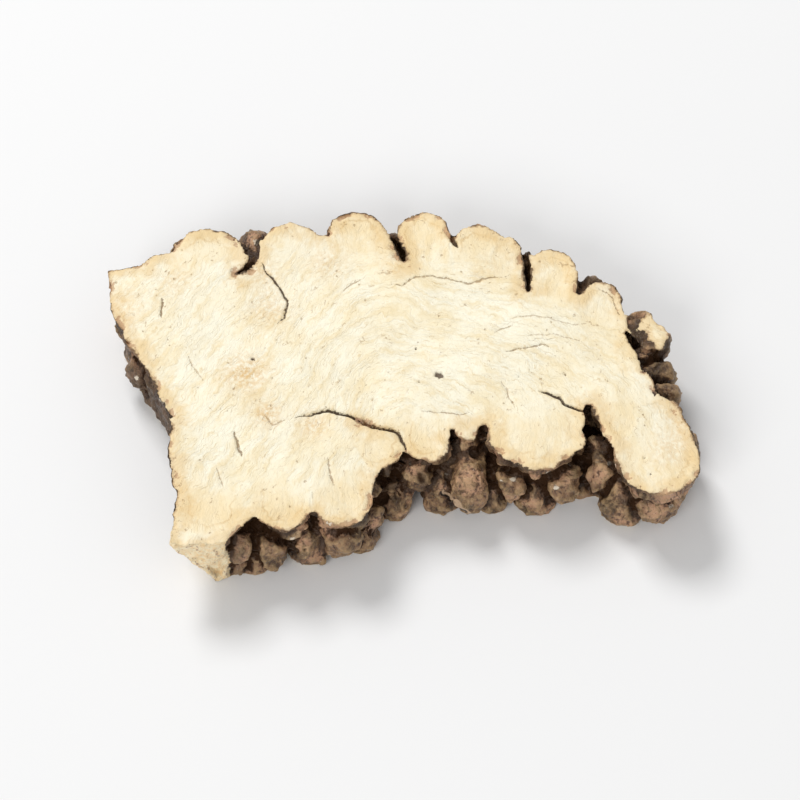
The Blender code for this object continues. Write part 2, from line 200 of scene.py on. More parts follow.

# Places on the bark where shade is painted, darker, in the same way.
PAINTED_SHADE_PLACES = [
    (4.6, -6.8, 0.9), (7.9, -6.9, 0.9), (9.9, -8.4, 1.4),
    (2.2, -11.9, 1.1), (-1.1, -10.7, 1.4), (12.3, -11.7, 1),
    (17.4, -7.9, 1.3), (-11.4, -15.7, 1.5), (-9.8, -19, 1.2),
    (20.8, -12.6, 1.2), (-26.6, 3.6, 1.2), (-22.9, -1.9, 1),
]

# Small pale flakes on the bark, in the same way.
FLAKES = [
    (0.7, -8.9, 0.2), (0.1, -8.2, 0.22), (4, -9.9, 0.2),
    (9.2, -10.7, 0.2), (10.3, -10.4, 0.24), (12.5, -8.8, 0.15),
    (13.6, -9.9, 0.3), (14.3, -11.4, 0.3), (19.4, -8.9, 0.35),
    (27.1, -12.2, 0.3), (25, -13.4, 0.25), (-13.2, -15.4, 0.25),
    (-10.1, -16.8, 0.25), (-6.6, -14.9, 0.3), (-14, 15.7, 0.38),
    (-25.3, 0.5, 0.22), (-22.4, -1.9, 0.45),
]

# A pale split across the foot of the nodule in the middle of the front, with a painted shadow along
# one side, in the same way.
SPLIT = [(3.7, -11.6), (4.9, -12.8), (6.3, -14.3)]

# Where nodules have grown together without a dark crease: x, y and radius.
GROWN_TOGETHER = [
    (6, -7.6, 1.5), (1.8, -9.6, 1.2), (22.6, -13.2, 1.6),
    (-8, -15.6, 1.3),
]

# Small dark spots on the upper face: x, y, radius and strength.
SPOTS = [
    (3.45, 0.75, 0.42, 1), (-14.1, 2.8, 0.22, 0.8), (1.3, 3.8, 0.18, 0.55),
    (1.6, 0, 0.2, 0.45), (15.3, 1, 0.2, 0.55), (-26, 4.8, 0.24, 0.55),
    (22.4, -7.9, 0.18, 0.55), (22.9, -9.6, 0.16, 0.5), (10.9, 0.6, 0.16, 0.35),
    (-8.5, -9, 0.14, 0.3),
]

# Stains on the upper face: x, y, radius and strength.
STAINS = [
    (-14.7, 1.2, 2, 1), (-12.6, -3.3, 1.3, 0.9), (-26.6, 8.2, 2.2, 0.5),
    (-8.2, -4.4, 1.5, 0.7), (-20.8, -12.2, 2.4, 0.4), (-13.2, 12.4, 1.6, 0.5),
    (-12.6, 8.2, 2.2, 0.5), (-21.5, 11.5, 2, 0.4), (8, 12.6, 1.8, 0.3),
    (24.8, -7, 2, 0.5), (26, -4.2, 1.4, 0.5), (-7.2, 13.5, 2.2, 0.45),
    (-1, 13, 1.4, 0.4),
]

# The camera: focal length and sensor in millimetres, height in degrees, the rest in metres.
LENS, SENSOR_WIDTH = 135, 36
CAMERA_HEIGHT = 60
CAMERA_DISTANCE = 0.285
CAMERA_LOOKS_AT = (0.0, -0.0006, 0.0035)
NEAREST_SEEN = 0.01

# Square lights: name, side and height in degrees, distance and size in metres, and power.
LIGHTS = [
    ("key", 208, 50, 0.9, 0.3, 4.75),
    ("fill", -30, 38, 0.9, 0.4, 3.0),
]
SKY_STRENGTH = 0.42

# The floor: half its width, how far it lies under the slice, in metres, and its grey.
FLOOR_HALF = 1.5
FLOOR_BELOW = 0.00002
FLOOR_GREY = 0.87


def upper_face(x, y):
    """Height of the upper cut face, as in the solid."""
    sag = 0.22 * np.sin(0.115 * x + 0.7) * np.cos(0.12 * y - 0.2)
    ripple = 0.1 * np.sin(0.34 * x - 0.42 * y) + 0.06 * np.sin(0.71 * x + 0.55 * y + 1.3)
    curl = 0.45 * np.maximum(0.0, (-x - 20.0) / 8.0) ** 2
    return THICKNESS - 0.25 + sag + ripple - curl


def lower_face(x, y):
    """Height of the lower cut face, as in the solid."""
    hollow = 0.45 * np.sin(0.21 * x + 0.5) * np.cos(0.26 * y + 0.4) - 0.08
    return np.maximum(0.0, hollow)


# The rhizome's form, as distances.


def core_distance(x, y, z):
    """Distance from the core's wall in plan, negative inside."""
    share = 1 - z / THICKNESS
    away = np.full(len(x), 1e9)
    inside = np.zeros(len(x), bool)
    for one, two in zip(CORE_OUTLINE, CORE_OUTLINE[1:] + CORE_OUTLINE[:1]):
        ax, ay = one[0] + one[2] * share, one[1] + one[3] * share
        bx, by = two[0] + two[2] * share, two[1] + two[3] * share
        ux, uy = bx - ax, by - ay
        t = np.clip(((x - ax) * ux + (y - ay) * uy) / (ux**2 + uy**2), 0, 1)
        away = np.minimum(away, np.hypot(x - ax - t * ux, y - ay - t * uy))
        crosses = (ay > y) != (by > y)
        rise = np.where(uy == 0, 1e-9, uy)
        inside ^= crosses & (x < ax + (y - ay) * ux / rise)
    return np.where(inside, -away, away)


def all_nodules():
    """Every nodule as root x and y, tip x and y, widest radius, height of middle, half height."""
    lobe_share = math.sqrt(1 - ((THICKNESS - LOBE_MID) / LOBE_HALF_HEIGHT) ** 2)
    foot_share = math.sqrt(1 - (FOOT_MID / FOOT_HALF_HEIGHT) ** 2)
    lobes = [(*row[:4], row[4] / lobe_share, LOBE_MID, LOBE_HALF_HEIGHT) for row in LOBES]
    feet = [(*row[:4], row[4] / foot_share, FOOT_MID, FOOT_HALF_HEIGHT) for row in FEET]
    return lobes + feet + KNOBS


def form_distances(points):
    """Distance to the nearest part of the form and to the second nearest, and which is nearest."""
    x, y, z = points.T
    nearest = core_distance(x, y, z)
    second = np.full(len(x), 9.0)
    which = np.zeros(len(x))
    for i, (x0, y0, x1, y1, radius, middle, half) in enumerate(all_nodules()):
        ux, uy = x1 - x0, y1 - y0
        t = np.clip(((x - x0) * ux + (y - y0) * uy) / max(ux**2 + uy**2, 1e-6), 0, 1)
        plan = np.hypot(x - x0 - t * ux, y - y0 - t * uy)
        rise = z - middle
        level = np.sqrt((plan / radius) ** 2 + (rise / half) ** 2) + 1e-6
        steep = np.sqrt((plan / radius**2) ** 2 + (rise / half**2) ** 2) + 1e-6
        away = (level - 1) * level / steep
        second = np.minimum(second, np.maximum(nearest, away))
        which = np.where(away < nearest, i + 1, which)
        nearest = np.minimum(nearest, away)
    return nearest, second, which


# Noise, for many points at once.


def lattice(cell, seed):
    """A fixed random number from 0 to 1 for each whole-number cell."""
    h = cell[..., 0] * 374761393 + cell[..., 1] * 668265263 + cell[..., 2] * 1274126177
    h = (h + seed * 362437) & 0xFFFFFFFF
    h = ((h ^ (h >> 13)) * 1103515245) & 0xFFFFFFFF
    h = ((h ^ (h >> 16)) * 2246822519) & 0xFFFFFFFF
    return ((h ^ (h >> 15)) & 0xFFFFFF) / float(0x1000000)


def soft_noise(points, size, variant):
    """Smooth noise from about -1 to 1 with bumps of the given size."""
    p = points / size
    cell = np.floor(p).astype(np.int64)
    f = p - cell
    w = f * f * f * (f * (f * 6 - 15) + 10)
    total = np.zeros(len(points))
    for corner in np.ndindex(2, 2, 2):
        c = np.array(corner)
        at = cell + c
        away = f - c
        share = np.prod(np.where(c, w, 1 - w), axis=1)
        slope = np.stack([lattice(at, SEED + variant + k * 101) * 2 - 1 for k in range(3)], axis=1)
        total += share * (slope * away).sum(1)
    return np.clip(total * 1.6, -1, 1)


def layered_noise(points, size, variant, layers=3):
    """Soft noise with ever finer and weaker noise added."""
    total, weight, whole = np.zeros(len(points)), 1.0, 0.0
    for i in range(layers):
        total += weight * soft_noise(points, size / 2**i, variant + 17 * i)
        whole += weight
        weight *= 0.5
    return total / whole


def eased(low, high, value):
    """0 below low, 1 above high, and a smooth rise between them."""
    t = np.clip((value - low) / (high - low), 0, 1)
    return t * t * (3 - 2 * t)


def in_plan(x, y):
    """Points without a height, so that noise there is the same all the way down."""
    return np.stack([x, y, np.zeros(len(x))], axis=1)


# The mesh, as arrays.


class Surface:
    """A mesh's points, and the edges between them, as arrays in plan millimetres."""

    def __init__(self, mesh):
        count = len(mesh.vertices)
        flat = np.empty(count * 3, np.float32)
        mesh.vertices.foreach_get("co", flat)
        self.mesh = mesh
        self.points = flat.reshape(-1, 3).astype(float) / MM + CENTRE
        ends = np.empty(len(mesh.edges) * 2, np.int32)
        mesh.edges.foreach_get("vertices", ends)
        self.a, self.b = ends.reshape(-1, 2).T
        self.neighbours = np.maximum(
            np.bincount(self.a, minlength=count) + np.bincount(self.b, minlength=count), 1
        )

    def normals(self):
        self.store()
        flat = np.empty(len(self.points) * 3, np.float32)
        self.mesh.vertex_normals.foreach_get("vector", flat)
        return flat.reshape(-1, 3).astype(float)

    def store(self):
        flat = ((self.points - CENTRE) * MM).astype(np.float32).ravel()
        self.mesh.vertices.foreach_set("co", flat)
        self.mesh.update()

    def around(self, values):
        """The mean of each point's neighbours' values."""
        count = len(self.points)
        columns = values.reshape(count, -1)
        out = np.empty_like(columns)
        for k in range(columns.shape[1]):
            column = columns[:, k]
            out[:, k] = np.bincount(self.a, column[self.b], count)
            out[:, k] += np.bincount(self.b, column[self.a], count)
        return (out / self.neighbours[:, None]).reshape(values.shape)

    def smoothed(self, values, times):
        """The values after being drawn halfway to their neighbours' mean, again and again."""
        for _ in range(times):
            values = values + 0.5 * (self.around(values) - values)
        return values


def near_line(x, y, points):
    """Signed distance from a line of points, and the share of its length at the nearest place."""
    best = np.full(len(x), 1e9)
    signed = np.full(len(x), 1e9)
    along = np.zeros(len(x))
    lengths = [math.dist(p[:2], q[:2]) for p, q in zip(points, points[1:])]
    whole, done = sum(lengths), 0.0
    for p, q, length in zip(points, points[1:], lengths):
        dx, dy = (q[0] - p[0]) / length, (q[1] - p[1]) / length
        t = np.clip((x - p[0]) * dx + (y - p[1]) * dy, 0, length)
        ox, oy = x - p[0] - t * dx, y - p[1] - t * dy
        away = np.hypot(ox, oy)
        side = np.where(dx * oy - dy * ox < 0, -1.0, 1.0)
        closer = away < best
        best = np.where(closer, away, best)
        signed = np.where(closer, away * side, signed)
        along = np.where(closer, (done + t) / whole, along)
        done += length
    return signed, along


def linked(name, data):
    """A new object in the scene."""
    made = bpy.data.objects.new(name, data)
    bpy.context.scene.collection.objects.link(made)
    return made


def evaluated(mesh, prepare):
    """A new mesh: the given one after the modifiers that prepare adds to its object."""
    holder = linked("holder", mesh)
    prepare(holder)
    seen = holder.evaluated_get(bpy.context.evaluated_depsgraph_get())
    made = bpy.data.meshes.new_from_object(seen)
    bpy.data.objects.remove(holder)
    return made


def fine_copy_of_the_solid():
    """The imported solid, welded and remeshed finely, as a new mesh."""
    shape = bmesh.new()
    shape.from_mesh(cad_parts[NODE].data)
    bmesh.ops.remove_doubles(shape, verts=shape.verts, dist=1e-7)
    mesh = bpy.data.meshes.new("coarse_slice")
    shape.to_mesh(mesh)
    shape.free()

    def remeshed(holder):
        remesh = holder.modifiers.new("fine", "REMESH")
        remesh.mode = "VOXEL"
        remesh.voxel_size = VOXEL * MM

    return evaluated(mesh, remeshed)


def thinned(mesh, group_points, share):
    """A new mesh that has lost a share of the faces at the points of the group."""
    ratio = 1 - share * group_points.sum() / len(mesh.vertices)

    def thin(holder):
        group = holder.vertex_groups.new(name="thin_here")
        group.add([int(i) for i in np.nonzero(group_points)[0]], 1.0, "REPLACE")
        decimate = holder.modifiers.new("thin", "DECIMATE")
        decimate.ratio = ratio
        decimate.vertex_group = "thin_here"
        decimate.vertex_group_factor = 10.0

    return evaluated(mesh, thin)


def flat_parts(mesh):
    """Points well inside the lower cut face, and well inside the upper one off its cracks."""
    surface = Surface(mesh)
    x, y, z = surface.points.T
    level = np.abs(surface.normals()[:, 2]) > 0.97
    cut = np.abs(z - upper_face(x, y)) < FLAT_TOLERANCE
    cut |= np.abs(z - lower_face(x, y)) < FLAT_TOLERANCE
    flat = surface.smoothed((level & cut).astype(float), 8) > 0.995
    low = z < THICKNESS / 2
    return flat & low, flat & ~low & ~detail_wanted(surface, 0.2, 0.8)


def thin_out_faces(mesh):
    """Uses larger faces in the flat middle of the two cuts."""
    mesh = thinned(mesh, flat_parts(mesh)[0], LOWER_THINNED)
    return thinned(mesh, flat_parts(mesh)[1], UPPER_THINNED)


def nearest_distance(from_points, to_points):
    tree = kdtree.KDTree(len(to_points))
    for i, point in enumerate(to_points):
        tree.insert(point, i)
    tree.balance()
    return np.array([tree.find(point)[2] for point in from_points])


def kinds_of_surface(surface):
    """Signed distances in from the edge of the upper and of the lower cut face."""
    p = surface.points
    x, y, z = p.T
    faces_up = surface.normals()[:, 2]
    upper = (np.abs(z - upper_face(x, y)) < FACE_TOLERANCE) & (faces_up > 0.75)
    lower = (np.abs(z - lower_face(x, y)) < FACE_TOLERANCE) & (faces_up < -0.75)
    fields = []
    for face in (upper, lower):
        inside = np.full(len(p), -9.0)
        near = np.abs(z - np.median(z[face])) < 2.4
        rest = near & ~face
        inside[face] = nearest_distance(p[face], p[rest])
        inside[rest] = -nearest_distance(p[rest], p[face])
        fields.append(inside)
    return upper, lower, fields[0], fields[1]


def torn_place(points):
    """Where the flesh was torn rather than cut: the flat front of the left corner."""
    x, y, z = points.T
    return (x < -16.1) & (y < -14.6) & (z > 0.1)


def slit_walls(points):
    """Where the walls of the slits between nodules are, as far down as the slits go."""
    x, y, z = points.T
    walls = np.zeros(len(x))
    for line in SLITS:
        away, _ = near_line(x, y, line)
        walls = np.maximum(walls, eased(0.75, 0.5, np.abs(away)))
    return walls * eased(THICKNESS - 4.2, THICKNESS - 3.2, z)


def bark_left_on(surface):
    """Signed distance from the bark that is left on the side nodule's cut, negative on it."""
    x, y = surface.points.T[:2]
    away = np.full(len(x), 9.0)
    for at_x, at_y, radius in BARK_LEFT:
        away = np.minimum(away, np.hypot(x - at_x, y - at_y) - radius)
    away += 0.25 * soft_noise(in_plan(x, y), 0.9, 71)
    return np.where(x > 21.35, away, 9.0)


def shape_bark(surface, bark, torn, below):
    """Draws the nodules apart, then gives the bark its rings, wrinkles, buds and root scars.

    below is each point's distance from the edge of the upper cut face.
    """
    cleft = np.zeros(len(bark))
    for turn in range(3):
        normals = surface.normals()
        p = surface.points
        bent = [0.34 * soft_noise(p, 2.4, 91 + k) for k in range(3)]
        bent = [bent[k] + 0.17 * soft_noise(p, 1.0, 95 + k) for k in range(3)]
        nearest, second, which = form_distances(p + np.stack(bent, axis=1))
        if turn == 0:
            cleft = np.maximum(eased(-0.3, -0.5, nearest), slit_walls(p)) * bark
        move = -np.clip(nearest, -0.3, 0.55) * (0.9 if turn < 2 else 0.5)
        move = move * eased(0.0, 0.4, p[:, 2])
        surface.points = surface.points + (bark * (1 - cleft) * move)[:, None] * normals
        drift = surface.around(surface.points) - surface.points
        surface.points = surface.points + (0.35 * bark)[:, None] * drift
    apart = second - nearest
    normals = surface.normals()
    p = surface.points
    loose = bark * (1 - cleft) * (1 - torn) * eased(0.0, 0.5, p[:, 2])
    crease = np.exp(-((apart / 0.42) ** 2))
    for x, y, radius in GROWN_TOGETHER:
        away = np.hypot(p[:, 0] - x, p[:, 1] - y)
        crease *= 1 - 0.85 * np.exp(-((away / radius) ** 2))
    warp = np.stack([soft_noise(p, 1.6, k) for k in range(3)], axis=1)
    lift = 2.4 * soft_noise(p * np.array([1, 1, 0]), 7.0, 7)
    rings = 1 - np.abs(np.sin(math.pi * (p[:, 2] + lift + 0.5 * warp[:, 0]) / 1.35))
    streaks = (p + 0.4 * warp) * np.array([1, 1, 0.42])
    ridge = 1 - np.abs(layered_noise(streaks, 0.9, 10))
    broad = soft_noise(p, 2.3, 19)
    fine = layered_noise(p, 0.5, 22, 2)
    height = 0.16 * broad + 0.26 * (ridge**2 - 0.75) + 0.1 * (rings**2 - 0.3) + 0.06 * fine
    tuck = eased(0.1, 0.5, below) * eased(2.6, 1.5, below)
    height = height - tuck * (0.22 + 0.3 * soft_noise(p, 2.6, 27))
    height = height - 0.6 * crease
    buds, scars = add_buds(surface, loose > 0.9)
    height = height + buds
    surface.points = p + (loose * height)[:, None] * normals
    tear = 0.16 * layered_noise(p * np.array([1, 1, 0.4]), 0.8, 25)
    surface.points = surface.points + (bark * torn * tear)[:, None] * normals
    out = surface.normals()
    cavity = ((surface.smoothed(surface.points, 14) - surface.points) * out).sum(1)
    # Painted shade: how dark the material paints the creases, where they are hollow.
    crease_shade = crease**2 * loose * eased(0.0, 0.13, cavity)
    return np.clip(cavity, -0.5, 0.5), crease_shade, cleft, which, scars * loose


def add_buds(surface, allowed):
    """Heights of small buds and of round root scars scattered over the bark, and the scars."""
    rng = np.random.default_rng(SEED)
    places = np.nonzero(allowed & (surface.points[:, 2] > 0.5) & (surface.points[:, 2] < 7.0))[0]
    height = np.zeros(len(surface.points))
    scars = np.zeros(len(surface.points))
    for i, at in enumerate(rng.choice(places, BUDS + SCARS, replace=False)):
        away = np.linalg.norm(surface.points - surface.points[at], axis=1)
        radius = rng.uniform(0.35, 0.75)
        if i < BUDS:
            dome = 0.62 * np.sqrt(np.maximum(0, radius**2 - away**2))
            height = np.maximum(height, dome) - 0.07 * np.exp(-(((away - radius) / 0.13) ** 2))
        else:
            radius *= 0.8
            height += 0.13 * np.exp(-(((away - radius) / 0.14) ** 2))
            height -= 0.16 * np.exp(-((away / (0.45 * radius)) ** 2))
            scars = np.maximum(scars, 1 - eased(0.75, 1.05, away / radius))
    return height, scars


def marks_on_bark(surface):
    """The bark's pink places, its places of painted shade, its pale flakes, and its split, as four
    fields.
    """
    x, y, z = surface.points.T
    toward = surface.normals() @ np.array([0.0, -0.5, 0.866])
    faces_us = eased(-0.1, 0.25, toward)
    p = surface.points
    seen_x = x + 0.3 * soft_noise(p, 0.9, 81)
    seen_y = y - SEEN_DROP * (THICKNESS - z) + 0.3 * soft_noise(p, 0.9, 82)
    fields = []
    for places, power in ((PINK_PLACES, 2), (PAINTED_SHADE_PLACES, 2), (FLAKES, 6)):
        field = np.zeros(len(x))
        for at_x, at_y, radius in places:
            away = np.hypot(seen_x - at_x, seen_y - at_y) / radius
            field = np.maximum(field, np.exp(-(away**power)))
        fields.append(field * faces_us)
    away, along = near_line(seen_x, seen_y, SPLIT)
    return *fields, np.where((along > 0.001) & (along < 0.999) & (toward > 0), away, 9.0)


def loosen_outline(surface, inside):
    """Moves everything a little in plan, so that the edges are ragged."""
    p = surface.points
    shift = np.zeros_like(p)
    near_rim = np.exp(-((inside / 0.9) ** 2))
    for k in range(2):
        shift[:, k] = 0.16 * soft_noise(p, 1.9, 31 + k)
        shift[:, k] += near_rim * 0.16 * soft_noise(p, 1.1, 35 + k)
        shift[:, k] += near_rim * 0.15 * soft_noise(p, 0.55, 41 + k)
    inward = np.abs(p[:, :2] - CENTRE[:2]) / np.array([28.2, 18.3])
    hold = 1 - eased(0.93, 1.0, inward.max(1))
    surface.points = p + shift * hold[:, None]


def grain_coordinates(x, y):
    """Along and across the fibres of the core, the same for the nearest nodule, and its share."""
    dx, dy = x + 2.0, y + 8.5
    arched = np.stack([17.0 * np.arctan2(dx, dy + 6.0), np.sqrt(0.5 * dx**2 + dy**2 + 4.0)], axis=1)
    turn = math.radians(56)
    dx, dy = x + 2.0, y - 3.0
    rising = np.stack([dx * math.cos(turn) + dy * math.sin(turn),
                       dy * math.cos(turn) - dx * math.sin(turn) + 11.6], axis=1)
    left = eased(3.0, -9.0, x + 1.5 * np.sin(0.4 * y))[:, None]
    core = arched * (1 - left) + rising * left
    own = core.copy()
    best = np.full(len(x), 1.2)
    second = np.full(len(x), 1.2)
    outward = np.zeros(len(x))
    for i, (x0, y0, x1, y1, radius) in enumerate(LOBES):
        if radius < 1.6:
            continue
        ax, ay = x1 - x0, y1 - y0
        length = math.hypot(ax, ay)
        ax, ay = ax / length, ay / length
        t = (x - x0) * ax + (y - y0) * ay
        s = (x - x0) * ay - (y - y0) * ax
        ratio = np.hypot(s, np.maximum(0, t - length)) / radius
        ratio = np.where(t > -0.6 * radius, ratio, 1.2)
        mine = ratio < best
        second = np.where(mine, best, np.minimum(second, ratio))
        best = np.where(mine, ratio, best)
        spread = np.arctan2(s, np.maximum(t, 0) + 2.2 * radius) * 3.2 * radius
        own = np.where(mine[:, None], np.stack([t + 9.7 * i, spread], axis=1), own)
        outward = np.where(mine, eased(-0.4, 1.3, t / radius), outward)
    share = outward * eased(0.0, 0.2, second - best) * (1 - eased(0.85, 1.1, best))
    return core, own, share, best


def carve_faces(surface, upper, lower, edge, bark_left):
    """Relief of the two cut faces."""
    p = surface.points
    x, y = p.T[:2]
    flat = in_plan(x, y)
    core, own, share, ratio = grain_coordinates(x, y)
    wander = 0.5 * soft_noise(flat, 3.0, 50)
    relief = 0.12 * soft_noise(flat, 4.5, 51) + 0.05 * soft_noise(flat, 1.8, 52)
    for grain, weight in ((core, 1 - share), (own, share)):
        strand = in_plan(grain[:, 0] * 0.3, grain[:, 1] + wander)
        relief += 0.06 * weight * soft_noise(strand, 1.5, 53)
    relief += 0.05 * np.exp(-(((edge - 0.5) / 0.4) ** 2))
    relief -= 0.07 * share * eased(1.0, 0.2, ratio)
    chips = eased(0.0, 0.5, soft_noise(flat, 1.3, 57))
    relief -= 0.45 * chips * eased(0.7, 0.1, edge)
    crust = eased(0.1, -0.4, bark_left)
    relief -= crust * (0.35 + 0.3 * soft_noise(flat, 0.8, 73))
    top = eased(0.0, 0.35, edge) * upper
    z = upper_face(x, y) + relief - 0.05
    p[:, 2] = np.where(upper, p[:, 2] * (1 - top) + z * top, p[:, 2])
    under = lower_face(x, y) + np.maximum(0, 0.05 * soft_noise(flat, 1.6, 55) + 0.015)
    p[:, 2] = np.where(lower, np.maximum(under, 0.0), np.maximum(p[:, 2], 0.0))
    return chips * eased(0.9, 0.2, edge) * upper


def crack_fields(surface, upper):
    """For the upper face: signed distance from the nearest crack, and its width and the darkness of
    its painted shade.
    """
    x, y = surface.points.T[:2]
    wobble = in_plan(x, y)
    x = x + 0.22 * soft_noise(wobble, 1.3, 61) + 0.07 * soft_noise(wobble, 0.5, 63)
    y = y + 0.22 * soft_noise(wobble, 1.3, 62) + 0.07 * soft_noise(wobble, 0.5, 64)
    signed = np.full(len(x), 2.0)
    width = np.zeros(len(x))
    dark = np.zeros(len(x))
    for points, wide, strength in CRACKS:
        away, along = near_line(x, y, points)
        taper = np.clip(np.minimum(along, 1 - along) * 5, 0, 1) ** 0.7
        taper = np.where((along > 0.001) & (along < 0.999), taper, 0)
        closer = upper & (np.abs(away) < np.abs(signed)) & (np.abs(away) < 1.0)
        signed = np.where(closer, away, signed)
        width = np.where(closer, wide * taper, width)
        dark = np.where(closer, strength, dark)
    width = np.where(np.abs(signed) < 0.6, width, 0)
    depth = np.clip(1 - np.abs(signed) / (0.5 * width + 0.12), 0, 1) * (width > 0)
    surface.points[:, 2] -= depth * dark * np.minimum(0.55, 1.6 * width)
    return signed, width, dark


def spot_field(surface, upper):
    x, y = surface.points.T[:2]
    field = np.zeros(len(x))
    for sx, sy, radius, strength in SPOTS:
        angle = np.arctan2(y - sy, x - sx)
        star = radius * (1 + 0.18 * np.sin(angle * 5 + sx) + 0.2 * np.sin(angle * 2 + sy * 3))
        near = np.clip(1.25 - np.hypot(x - sx, y - sy) / star, 0, 1)
        field = np.maximum(field, near * strength)
    field = field * upper
    surface.points[:, 2] -= 0.35 * eased(0, 1, field)
    return field


def stain_field(surface):
    x, y = surface.points.T[:2]
    field = np.zeros(len(x))
    for sx, sy, radius, strength in STAINS:
        field += strength * np.exp(-((x - sx) ** 2 + (y - sy) ** 2) / radius**2)
    return np.clip(field, 0, 1)


def subdivide_near(mesh, wanted):
    """Splits in four the faces whose points are all wanted."""
    shape = bmesh.new()
    shape.from_mesh(mesh)
    shape.verts.ensure_lookup_table()
    edges = [e for e in shape.edges if wanted[e.verts[0].index] and wanted[e.verts[1].index]]
    bmesh.ops.subdivide_edges(shape, edges=edges, cuts=1, use_grid_fill=True)
    bmesh.ops.triangulate(shape, faces=[f for f in shape.faces if len(f.verts) > 4])
    shape.to_mesh(mesh)
    shape.free()


def store_fields(mesh, **fields):
    """Stores each field of numbers or vectors under its name, for the material to read."""
    for name, values in fields.items():
        vector = values.ndim == 2
        layer = mesh.attributes.new(name, "FLOAT_VECTOR" if vector else "FLOAT", "POINT")
        layer.data.foreach_set("vector" if vector else "value", values.astype(np.float32).ravel())


def detail_wanted(surface, least, reach):
    """Where the upper face has cracks of at least a strength, or spots, that need small faces."""
    x, y, z = surface.points.T
    high = z > upper_face(x, y) - 0.6
    wanted = np.zeros(len(x), bool)
    for points, _, strength in CRACKS:
        if strength >= least:
            away, _ = near_line(x, y, points)
            wanted |= np.abs(away) < reach
    for sx, sy, radius, _ in SPOTS:
        wanted |= np.hypot(x - sx, y - sy) < 2.0 * radius
    return wanted & high


def build_slice():
    """The dressed slice as a new object, with the fields that its material reads."""
    mesh = thin_out_faces(fine_copy_of_the_solid())
    subdivide_near(mesh, detail_wanted(Surface(mesh), 0.5, 0.5))
    surface = Surface(mesh)
    upper, lower, edge, lower_edge = kinds_of_surface(surface)
    cut = upper | lower
    inside = np.maximum(edge, lower_edge)
    bark = surface.smoothed(np.where(cut, 0.0, eased(0.0, 0.4, -inside)), 2)
    bark = np.clip(bark, 0, 1) * ~cut
    torn = np.clip(surface.smoothed(torn_place(surface.points).astype(float), 3), 0, 1)
    cavity, crease, cleft, which, scars = shape_bark(surface, bark, torn, -edge)
    loosen_outline(surface, inside)
    bark_left = bark_left_on(surface)
    chips = carve_faces(surface, upper, lower, np.maximum(edge, 0), bark_left)
    edge = np.where(upper, np.minimum(edge, bark_left), edge)
    inside = np.where(upper, np.minimum(inside, bark_left), inside)
    crack_away, crack_width, crack_dark = crack_fields(surface, upper)
    spots = spot_field(surface, upper)
    surface.store()
    pink, dim, flakes, split = marks_on_bark(surface)
    x, y = surface.points.T[:2]
    core, own, share, ratio = grain_coordinates(x, y)
    tone = lattice(np.stack([which, which * 3, which * 7], axis=1).astype(np.int64), SEED)
    store_fields(
        mesh,
        face_edge=inside,
        upper_edge=edge,
        cavity=cavity,
        # crease holds the painted shade of the creases.
        crease=crease,
        cleft=cleft,
        scar=scars,
        chips=chips * (1 - torn),
        torn=torn,
        left_flank=eased(-13.5, -16.5, x) * eased(6.0, 2.0, y),
        tone=surface.smoothed(tone, 2),
        pink=pink,
        dim=dim,
        flakes=flakes,
        split_away=np.clip(split, -2.0, 2.0),
        crack_away=crack_away,
        crack_width=crack_width,
        crack_dark=crack_dark,
        spot=spots,
        stain=stain_field(surface) * upper,
        core_grain=in_plan(*core.T),
        lobe_grain=in_plan(*own.T) + np.array([0.0, 0.0, LOBE_GRAIN_APART]),
        lobe_share=share,
        lobe_ratio=ratio,
    )
    mesh.name = "dressed_slice"
    mesh.shade_smooth()
    triangles = sum(len(polygon.vertices) - 2 for polygon in mesh.polygons)
    print("dressed slice:", len(mesh.vertices), "points,", triangles, "triangles")
    return linked("dressed_slice", mesh)


# Materials.


